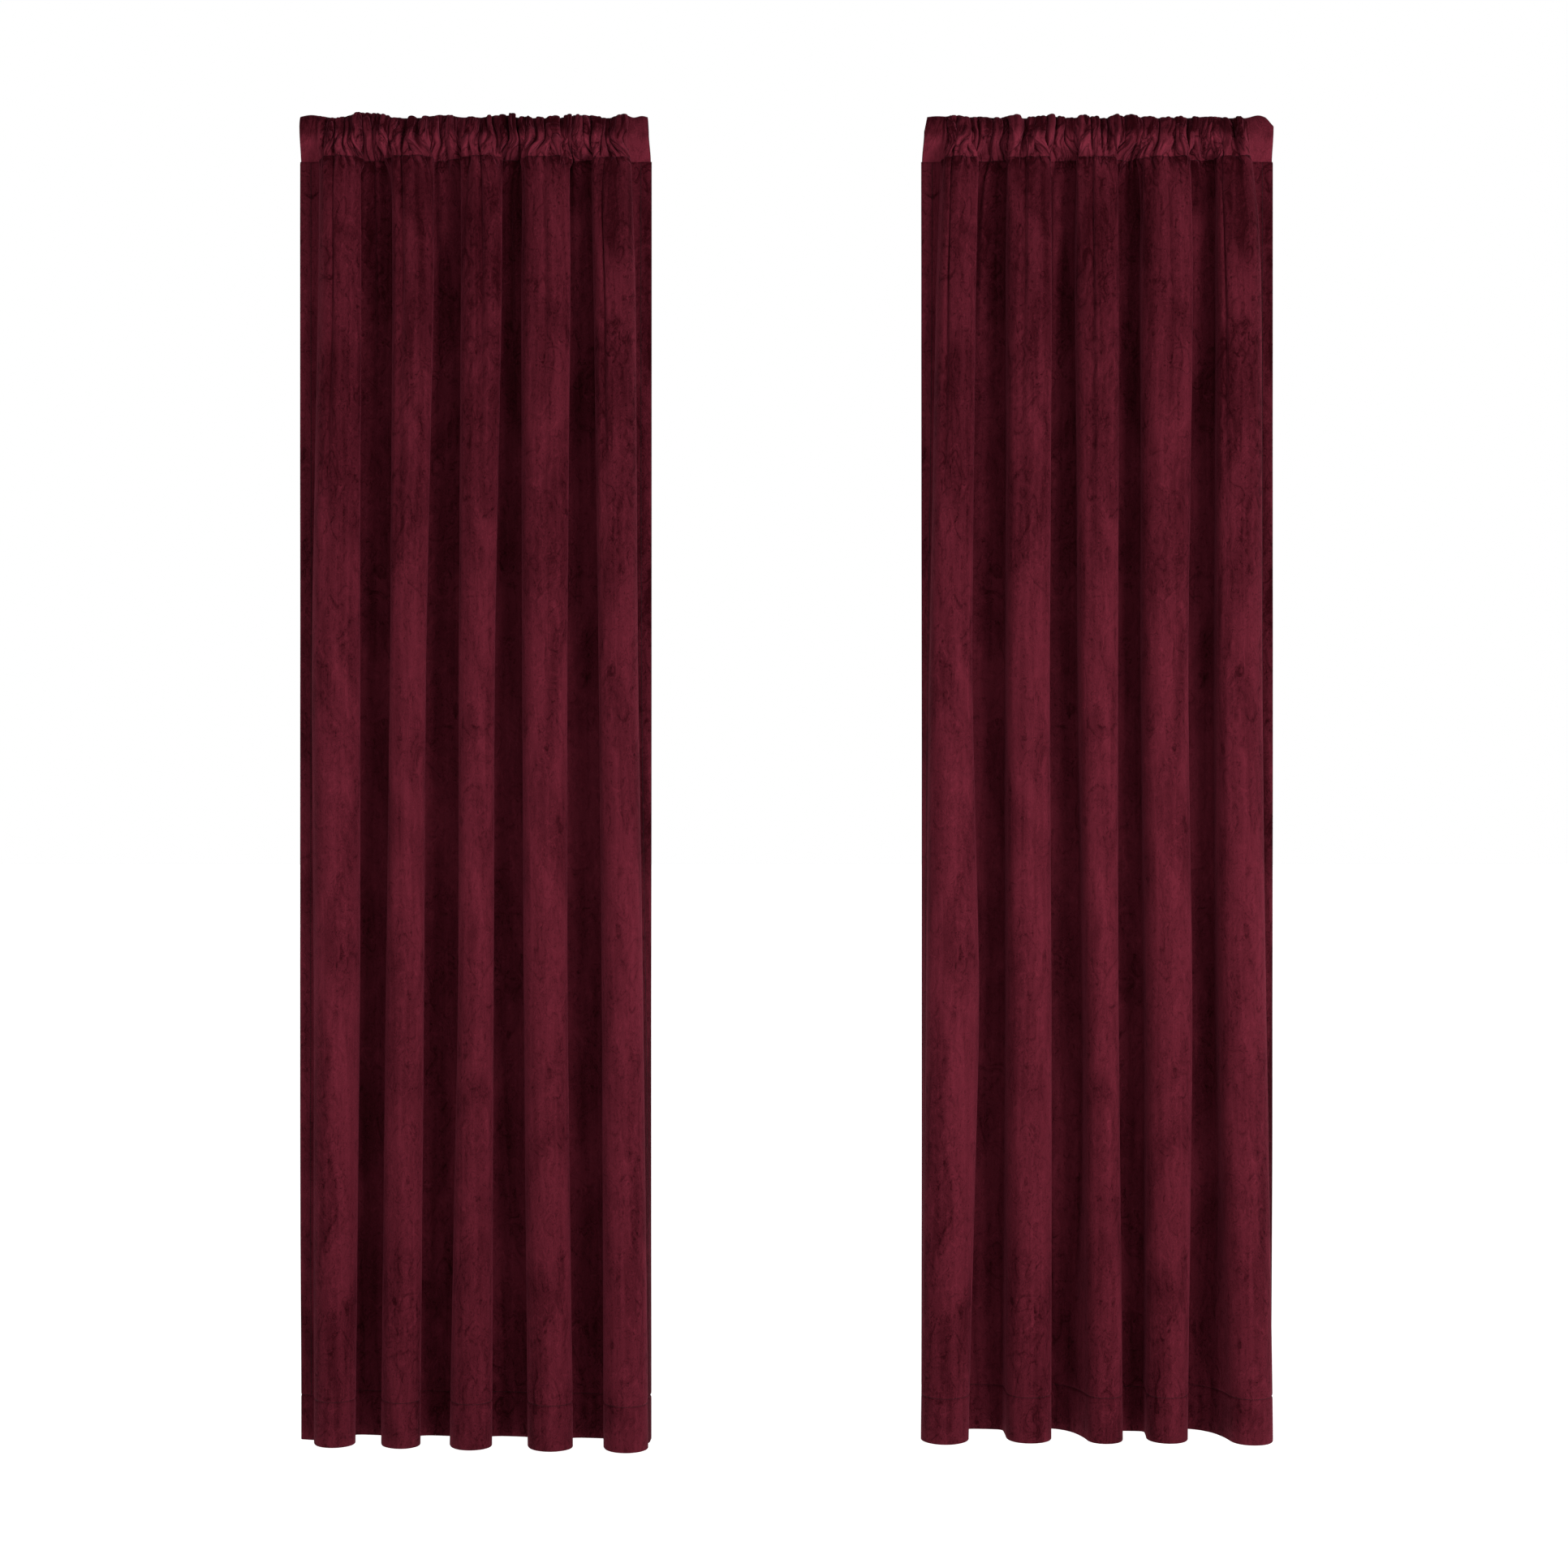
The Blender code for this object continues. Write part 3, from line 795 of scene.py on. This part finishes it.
def pinches(panel, cut, along):
    """Short slanted creases where the gathered cloth is pinched in, in metres inward."""
    rng = np.random.default_rng(SEEDS[panel.side] + 9)
    depth = np.zeros_like(cut)
    for _ in range(PINCHES):
        middle = rng.uniform(0.05, CUT_WIDTH - 0.05)
        start = rng.uniform(-0.012, 0.062)
        length = rng.uniform(0.016, 0.042)
        slant = rng.uniform(-0.9, 0.9)
        wide = rng.uniform(0.0024, 0.0055)
        deep = rng.uniform(0.003, 0.0085)
        grown = math.sin(math.pi * min(max((along - start) / length, 0.0), 1.0))
        centre = middle + slant * (along - start)
        depth = depth + deep * grown * np.exp(-(((cut - centre) / wide) ** 2))
    return depth


print("humps along the top:", {side: len(humps) for side, humps in TOP_HUMPS.items()})

# %% [markdown]
# ### The pocket's rows
#
# The rows go up the front from the seam, over the rod and down the back to the seam again,
# and end with the turned edge. The pocket's two ends lie flat, as sewn edges do.

# %% Pocket cloth
POCKET_COLUMNS = 820
OVERHANG = 0.0030  # how far the puffs swell out just above the seam
PUFF_LEAN = 0.0055  # how far a puff leans to one side as it climbs
FRONT_STANDS, REAR_STANDS = 1.15, 0.70  # the puffs' depth, against what the cloth would make
FLAT_END = 0.05  # the cloth at each end that doesn't gather
SIDE_TURN = 82  # degrees from the top at which the curve round the rod begins and ends


def pocket_grid(panel, cut):
    """Rows from the front seam over the rod to the turned edge behind the seam."""
    seam_x, seam_y = panel.points(0.0, cut, SEAM_DENT)
    seam_x = seam_x - panel.left
    front_x, front_out = (np.interp(cut, FINE, v) for v in pocket_line(panel, 1.0, 0.45))
    top_x, top_out = (np.interp(cut, FINE, v) for v in pocket_line(panel, 0.6, 1.0))
    rear_x, rear_out = (np.interp(cut, FINE, v) for v in pocket_line(panel, 1.0, 0.4))
    flat = smooth(np.minimum(cut, CUT_WIDTH - cut) / FLAT_END)
    top_shape = 0.72 + 0.28 * np.clip(top_out / np.percentile(top_out, 92), 0, 1)
    top_high = hump_height(panel, top_x) * (flat * top_shape + (1 - flat))
    front_out = FRONT_STANDS * front_out
    rear_out = REAR_STANDS * rear_out
    arc_z = ROD_RADIUS + 0.0005 - (LOOP_RADIUS - VELVET / 2)
    seed = SEEDS[panel.side]
    corners = TOP_CORNERS[panel.side]
    grid, run = [], []

    def add_row(x, y, z, along, on_rod, top=0.0):
        level = along / POCKET_CLOTH
        lean = PUFF_LEAN * ripple(cut * 14, np.full_like(cut, level * 2.2), seed + 4)
        half = panel.width / 2
        end = np.clip(np.abs(x - half) / half, 0, 1) ** 6
        corner = np.where(x < half, corners[0], -corners[1]) * top * end
        inset = END_INSET * on_rod * (1 - x / half)
        x = x + lean * on_rod * flat + corner + inset
        grid.append(np.column_stack([panel.left + x, y, z]))
        run.append(along)

    wall = arc_z - panel.seam
    for p in np.concatenate([[0, 0.015, 0.03, 0.05, 0.08, 0.12], np.linspace(0.17, 1.0, 13)]):
        share = smooth(p) ** 0.85
        gather = smooth(p / 0.35)
        y = (1 - share) * seam_y - share * LOOP_RADIUS - gather * front_out
        swell = OVERHANG * math.exp(-(((p - 0.13) / 0.10) ** 2)) * (0.3 + 0.7 * flat)
        swell = swell * min(p / 0.05, 1.0)
        across = smooth(p / 0.55)
        x = (1 - across) * seam_x + across * front_x
        z = np.full_like(cut, panel.seam + wall * p)
        pressed = pinches(panel, cut, wall * p) * min(p / 0.1, 1.0)
        y = np.minimum(y - swell + pressed, (1 - share) * seam_y - share * LOOP_RADIUS + 0.001)
        add_row(x, y, z, wall * p, smooth(p))
    for turn in np.linspace(-SIDE_TURN, SIDE_TURN, 19):
        a = math.radians(turn)
        side_x, side_out = (front_x, front_out) if turn < 0 else (rear_x, rear_out)
        share = abs(math.sin(a)) ** 1.3
        x = (1 - share) * top_x + share * side_x
        raised = abs(math.sin(a)) ** 3.4
        up = (1 - raised) * top_high + raised * side_out
        if turn < 40:
            pressed = pinches(panel, cut, wall + LOOP_RADIUS * (a + math.pi / 2))
            up = np.maximum(up - pressed * max(1 - 1.05 * math.cos(a), 0.0), -0.001)
        y = (LOOP_RADIUS + up) * math.sin(a)
        z = arc_z + (LOOP_RADIUS + up) * math.cos(a)
        add_row(x, y, z, wall + LOOP_RADIUS * (a + math.pi / 2), 1.0, math.cos(a))
    back_x, back_y = panel.points(0.0, cut, LAYER + SEAM_DENT)
    back_x = back_x - panel.left
    over = wall + LOOP_RADIUS * math.pi
    for p in np.linspace(1.0, 0.0, 13):
        share = smooth(p)
        y = (1 - share) * back_y + share * (LOOP_RADIUS + rear_out)
        x = (1 - share) * back_x + share * rear_x
        z = np.full_like(cut, panel.seam + wall * p)
        add_row(x, y, z, over + wall * (1 - p), share)
    for depth in (0.0035, 0.007):
        x, y = panel.points(depth, cut, LAYER + dent(depth, 0.0))
        z = np.full_like(cut, panel.seam - depth)
        add_row(x - panel.left, y, z, over + wall + depth, 0.0)
    return grid, run


def add_pocket(panel):
    cut = np.linspace(0.0, CUT_WIDTH, POCKET_COLUMNS + 1)
    grid, run = pocket_grid(panel, cut)
    name = f"{panel.side}_pocket_velvet"
    return sheet_mesh(name, grid[::-1], cut, run[::-1], (PILE, REVERSE))


pockets = {side: add_pocket(panel) for side, panel in panels.items()}

# %% [markdown]
# ## The hems at the back
#
# The bottom edge is turned up by about 76 mm and the side edges are turned in by 20 mm. From
# the back they are strips of velvet that lie on the cloth's reverse and follow its folds, so
# they are made from the same lines, one layer further back.

# %% Hems
SIDE_HEM_FROM = 0.0075  # below the seam, where the pocket's turned edge ends


def laid_row(panel, depth, cut, back):
    """A row of points that follows the hanging cloth at this depth, moved back."""
    x, y = panel.points(depth, cut, back)
    push = flutter(panel, cut, depth)
    return np.column_stack([x, y - push, np.full_like(cut, panel.seam - depth)])


def add_bottom_hem(panel):
    cut = np.linspace(0.0, CUT_WIDTH, COLUMNS + 1)
    drop = panel.seam - panel.bottom
    height = panel.hem_top - panel.bottom
    _, hem = face_depths(panel)
    grid, run = [], []
    for depth in np.linspace(drop - EDGE_ROLL, drop - height, 12):
        grid.append(laid_row(panel, depth, cut, LAYER + dent(depth, hem)))
        run.append(depth - 2 * drop)
    name = f"{panel.side}_bottom_hem_velvet"
    return sheet_mesh(name, grid[::-1], cut, run[::-1], (REVERSE, PILE))


def add_side_hem(panel, where, from_left):
    cut = np.linspace(0.0, STRIP, 9)
    if not from_left:
        cut = CUT_WIDTH - cut[::-1]
    drop = panel.seam - panel.bottom
    height = panel.hem_top - panel.bottom
    grid, run = [], []
    for depth in np.linspace(SIDE_HEM_FROM, drop - height - 0.0003, 120):
        grid.append(laid_row(panel, depth, cut, LAYER))
        run.append(-depth)
    name = f"{panel.side}_{where}_side_hem_velvet"
    return sheet_mesh(name, grid, -cut, run, (REVERSE, PILE))


hems = {}
for side, panel in panels.items():
    hems[side, "bottom"] = add_bottom_hem(panel)
    for where in ("outer", "inner"):
        from_left = (side == "left") == (where == "outer")
        hems[side, where] = add_side_hem(panel, where, from_left)

# %% [markdown]
# ## Stitches
#
# Four lines of stitching hold each curtain together: under the pocket, above the bottom hem
# and along the two side hems. On the face every line is a row of short, slightly sunk stitches
# of a dark matching thread. They repeat along a path, so Geometry Nodes lay them: the path is
# cut into equal steps, one small rounded stitch is set on each and turned along the path.

# %% Thread finish and the stitch tree
STITCH_PITCH = 0.0036
STITCH_LENGTH = 0.0034
THREAD_RADIUS = 0.00068


def thread_finish():
    made, tree, shader = new_finish("thread")
    place = add_node(tree, "ShaderNodeTexCoord").outputs["Object"]
    inputs = {"Vector": place, "Scale": 900.0, "Distortion": 2.0, "Detail": 1.0}
    ply = add_node(tree, "ShaderNodeTexWave", inputs, bands_direction="DIAGONAL").outputs["Fac"]
    inputs = {
        "Base Color": blend(tree, ply, (0.004, 0.0004, 0.0008), (0.014, 0.0018, 0.0034)),
        "Normal": bumped(tree, ply, 0.4, 0.0001),
        "Roughness": 0.6,
        "Specular IOR Level": 0.12,
    }
    give(tree, shader, inputs)
    return made


THREAD = thread_finish()


def stitch_tree():
    tree = bpy.data.node_groups.new("row of stitches", "GeometryNodeTree")
    face = tree.interface
    face.new_socket("Geometry", in_out="INPUT", socket_type="NodeSocketGeometry")
    for name in ("Pitch", "Length", "Thread radius"):
        face.new_socket(name, in_out="INPUT", socket_type="NodeSocketFloat")
    face.new_socket("Finish", in_out="INPUT", socket_type="NodeSocketMaterial")
    face.new_socket("Geometry", in_out="OUTPUT", socket_type="NodeSocketGeometry")
    given = tree.nodes.new("NodeGroupInput").outputs
    curve = add_node(tree, "GeometryNodeMeshToCurve", {"Mesh": given["Geometry"]})
    inputs = {"Curve": curve.outputs["Curve"], "Length": given["Pitch"]}
    steps = add_node(tree, "GeometryNodeResampleCurve", inputs, mode="LENGTH")
    along = add_node(tree, "GeometryNodeInputTangent").outputs["Tangent"]
    turned = add_node(tree, "FunctionNodeAlignRotationToVector", {"Vector": along}, axis="X")
    inputs = {"Segments": 6, "Rings": 5, "Radius": 0.5}
    ball = add_node(tree, "GeometryNodeMeshUVSphere", inputs).outputs["Mesh"]
    thick = product_of(tree, given["Thread radius"], 2.0)
    inputs = {"X": given["Length"], "Y": thick, "Z": thick}
    size = add_node(tree, "ShaderNodeCombineXYZ", inputs).outputs["Vector"]
    stitch = add_node(tree, "GeometryNodeTransform", {"Geometry": ball, "Scale": size})
    inputs = {
        "Points": steps.outputs["Curve"],
        "Instance": stitch.outputs["Geometry"],
        "Rotation": turned.outputs["Rotation"],
    }
    laid = add_node(tree, "GeometryNodeInstanceOnPoints", inputs)
    shape = laid.outputs["Instances"]
    finish = {"Material": given["Finish"]}
    for kind, extra in (("RealizeInstances", {}), ("SetShadeSmooth", {}), ("SetMaterial", finish)):
        node = add_node(tree, f"GeometryNode{kind}", {"Geometry": shape, **extra})
        shape = node.outputs["Geometry"]
    out = tree.nodes.new("NodeGroupOutput")
    tree.links.new(shape, out.inputs["Geometry"])
    return tree


STITCHES = stitch_tree()
print("stitch tree has", len(STITCHES.nodes), "nodes")

# %% [markdown]
# ### Laying the stitches
#
# A path is read from the same lines as the cloth, lifted to just under the top of the pile.
# The modifier's result is then turned into a plain mesh.

# %% Stitch rows
STITCH_LIFT = VELVET / 2 - 0.0001
POCKET_STITCH_BELOW = 0.0006
EDGE_STITCH_IN = 0.004  # from the side hem's inner edge


def sew(name, path):
    guide = bpy.data.meshes.new(name)
    guide.from_pydata([tuple(p) for p in path], [(i, i + 1) for i in range(len(path) - 1)], [])
    obj = link(bpy.data.objects.new(name, guide))
    row = obj.modifiers.new("stitches", "NODES")
    row.node_group = STITCHES
    values = {
        "Pitch": STITCH_PITCH,
        "Length": STITCH_LENGTH,
        "Thread radius": THREAD_RADIUS,
        "Finish": THREAD,
    }
    for item in STITCHES.interface.items_tree:
        if item.in_out == "INPUT" and item.name in values:
            row[item.identifier] = values[item.name]
    graph = bpy.context.evaluated_depsgraph_get()
    made = bpy.data.meshes.new_from_object(obj.evaluated_get(graph), depsgraph=graph)
    obj.modifiers.remove(row)
    obj.data = made
    print(name, len(made.polygons), "faces")
    return obj


stitching = {}
for side, panel in panels.items():
    _, hem = face_depths(panel)
    along = np.linspace(0.002, CUT_WIDTH - 0.002, 900)
    for place, depth in (("pocket", POCKET_STITCH_BELOW), ("hem", hem)):
        path = laid_row(panel, depth, along, SEAM_DENT - STITCH_LIFT)
        stitching[side, place] = sew(f"{side}_{place}_stitches", path)
    for where in ("outer", "inner"):
        from_left = (side == "left") == (where == "outer")
        inset = STRIP - EDGE_STITCH_IN
        cut = np.array([inset if from_left else CUT_WIDTH - inset])
        depths = np.linspace(0.004, hem - 0.003, 240)
        path = [laid_row(panel, depth, cut, -STITCH_LIFT)[0] for depth in depths]
        stitching[side, where] = sew(f"{side}_{where}_side_stitches", path)

# %% [markdown]
# ## The care label
#
# A small blank tape of woven satin is sewn to the back of the outer side hem, a little above
# the bottom hem. It carries no words here. Satin is a smooth weave with a soft gloss, and its
# free end curls a little away from the cloth.

# %% Care label


def label_finish():
    made, tree, shader = new_finish("label")
    cut = add_node(tree, "ShaderNodeUVMap", uv_map="cut").outputs["UV"]
    inputs = {"Vector": cut, "Scale": 450.0, "Distortion": 0.6}
    ribs = add_node(tree, "ShaderNodeTexWave", inputs, bands_direction="Y").outputs["Fac"]
    slub = flat_noise(tree, cut, 120.0, 900.0, 2.0, 0.5)
    shade = sum_of(tree, product_of(tree, ribs, 0.5), slub)
    inputs = {
        "Base Color": blend(tree, shade, (0.62, 0.59, 0.52), (0.83, 0.81, 0.76)),
        "Normal": bumped(tree, shade, 0.3, 0.0001),
        "Roughness": 0.42,
        "Sheen Weight": 0.15,
    }
    give(tree, shader, inputs)
    return made


LABEL = label_finish()
LABEL_CURL = 0.0035  # how far the free end stands off
LABEL_THICK = 0.0004


def add_label(panel):
    low, high = panel.label
    from_left = panel.side == "left"
    inset = (STRIP - (high.x - low.x)) / 2
    across = np.linspace(inset, inset + high.x - low.x, 9)
    cut = across if from_left else CUT_WIDTH - across[::-1]
    grid, run = [], []
    for share in np.linspace(0.0, 1.0, 19):
        z = high.z + (low.z - high.z) * share
        back = LAYER + VELVET / 2 + 0.0005 + LABEL_CURL * share**3
        grid.append(laid_row(panel, panel.seam - z, cut, back))
        run.append(z - high.z)
    name = f"{panel.side}_care_label_tape"
    return sheet_mesh(name, grid, cut, run, (LABEL,), thickness=LABEL_THICK)


labels = {side: add_label(panel) for side, panel in panels.items()}

# %% [markdown]
# ## Studio
#
# A wide pale floor lies just under the curtains. The sky is the soft light of a bright studio,
# weaker from straight above and from the far left, and the camera sees it as plain white. The
# one lamp is a large soft panel in front and to the right, at half the curtains' height, so
# that each fold brightens towards its right side and its left side stays dark.

# %% Floor and lights
FLOOR_Z = cad_low.z - 0.02
FLOOR_REACH = 30.0
LAMP_ASIDE, LAMP_AWAY, LAMP_RAISED = 2.9, 4.4, 0.1
LAMP_SIZE = (1.6, 2.2)
LAMP_POWER = 210


def pale_floor():
    made, tree, shader = new_finish("floor")
    inputs = {
        "Base Color": (0.90, 0.90, 0.90, 1.0),
        "Roughness": 0.95,
        "Emission Color": (1.0, 1.0, 1.0, 1.0),
        "Emission Strength": 0.8,
    }
    give(tree, shader, inputs)
    signs = ((-1, -1), (1, -1), (1, 1), (-1, 1))
    corners = [(a * FLOOR_REACH, b * FLOOR_REACH, FLOOR_Z) for a, b in signs]
    mesh = bpy.data.meshes.new("floor")
    mesh.from_pydata(corners, [], [(0, 1, 2, 3)])
    mesh.materials.append(made)
    return link(bpy.data.objects.new("floor", mesh))


floor = pale_floor()
floor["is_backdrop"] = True
middle = (cad_low.z + cad_high.z) / 2
key_data = bpy.data.lights.new("key", "AREA")
key_data.shape = "RECTANGLE"
key_data.size, key_data.size_y = LAMP_SIZE
key_data.energy = LAMP_POWER
key = link(bpy.data.objects.new("key", key_data))
key.location = (LAMP_ASIDE, -LAMP_AWAY, middle + LAMP_RAISED)
key.rotation_euler = (Vector((0, 0, middle)) - key.location).to_track_quat("-Z", "Y").to_euler()
world = bpy.data.worlds.new("sky")
world.use_nodes = True
sky_tree = world.node_tree
sky = sky_tree.nodes["Background"]
way = add_node(sky_tree, "ShaderNodeTexCoord").outputs["Generated"]
towards = add_node(sky_tree, "ShaderNodeSeparateXYZ", {"Vector": way}).outputs
upper = ranged(sky_tree, towards["Z"], 0.30, 0.85, 1.0, 0.15)
leftward = ranged(sky_tree, towards["X"], -0.90, -0.40, 0.45, 1.0)
shaded = product_of(sky_tree, upper, leftward)
seen = add_node(sky_tree, "ShaderNodeLightPath").outputs["Is Camera Ray"]
strength = maths(sky_tree, "MAXIMUM", shaded, seen)
give(sky_tree, sky, {"Color": (1.0, 1.0, 1.0, 1.0), "Strength": strength})
bpy.context.scene.world = world
bpy.context.scene.view_settings.view_transform = "Standard"
print("floor at", round(FLOOR_Z, 3))

# %% [markdown]
# ## Riding and replacing
#
# Each piece rides on its panel's body, and stands for the plain CAD solids that it replaces,
# which are hidden.

# %% Ride and replace


def hand_over(obj, side, slot, *nodes):
    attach(obj, f"{side}_panel")
    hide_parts(*[f"{side}_{node}" for node in nodes])


for side, panel in panels.items():
    hem = panel.hem_top - panel.bottom
    hand_over(faces[side], side, "velvet", "face_cloth")
    hand_over(pockets[side], side, "velvet", "pocket_front", "pocket_turnover")
    hand_over(hems[side, "bottom"], side, "velvet_reverse", "bottom_hem")
    hand_over(labels[side], side, "label", "care_label")
    for where in ("outer", "inner"):
        hand_over(hems[side, where], side, "velvet_reverse", f"{where}_side_hem")
        hand_over(stitching[side, where], side, "thread", f"{where}_side_stitch")
    hand_over(stitching[side, "pocket"], side, "thread", "pocket_stitch")
    hand_over(stitching[side, "hem"], side, "thread", "hem_stitch")

# %% Print how far the bounds moved
new_low, new_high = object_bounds()
grown = [round((b - a) * 1000, 1) for a, b in zip(cad_low, new_low)]
print("lowest corner moved by", grown, "mm")
grown = [round((b - a) * 1000, 1) for a, b in zip(cad_high, new_high)]
print("highest corner moved by", grown, "mm")
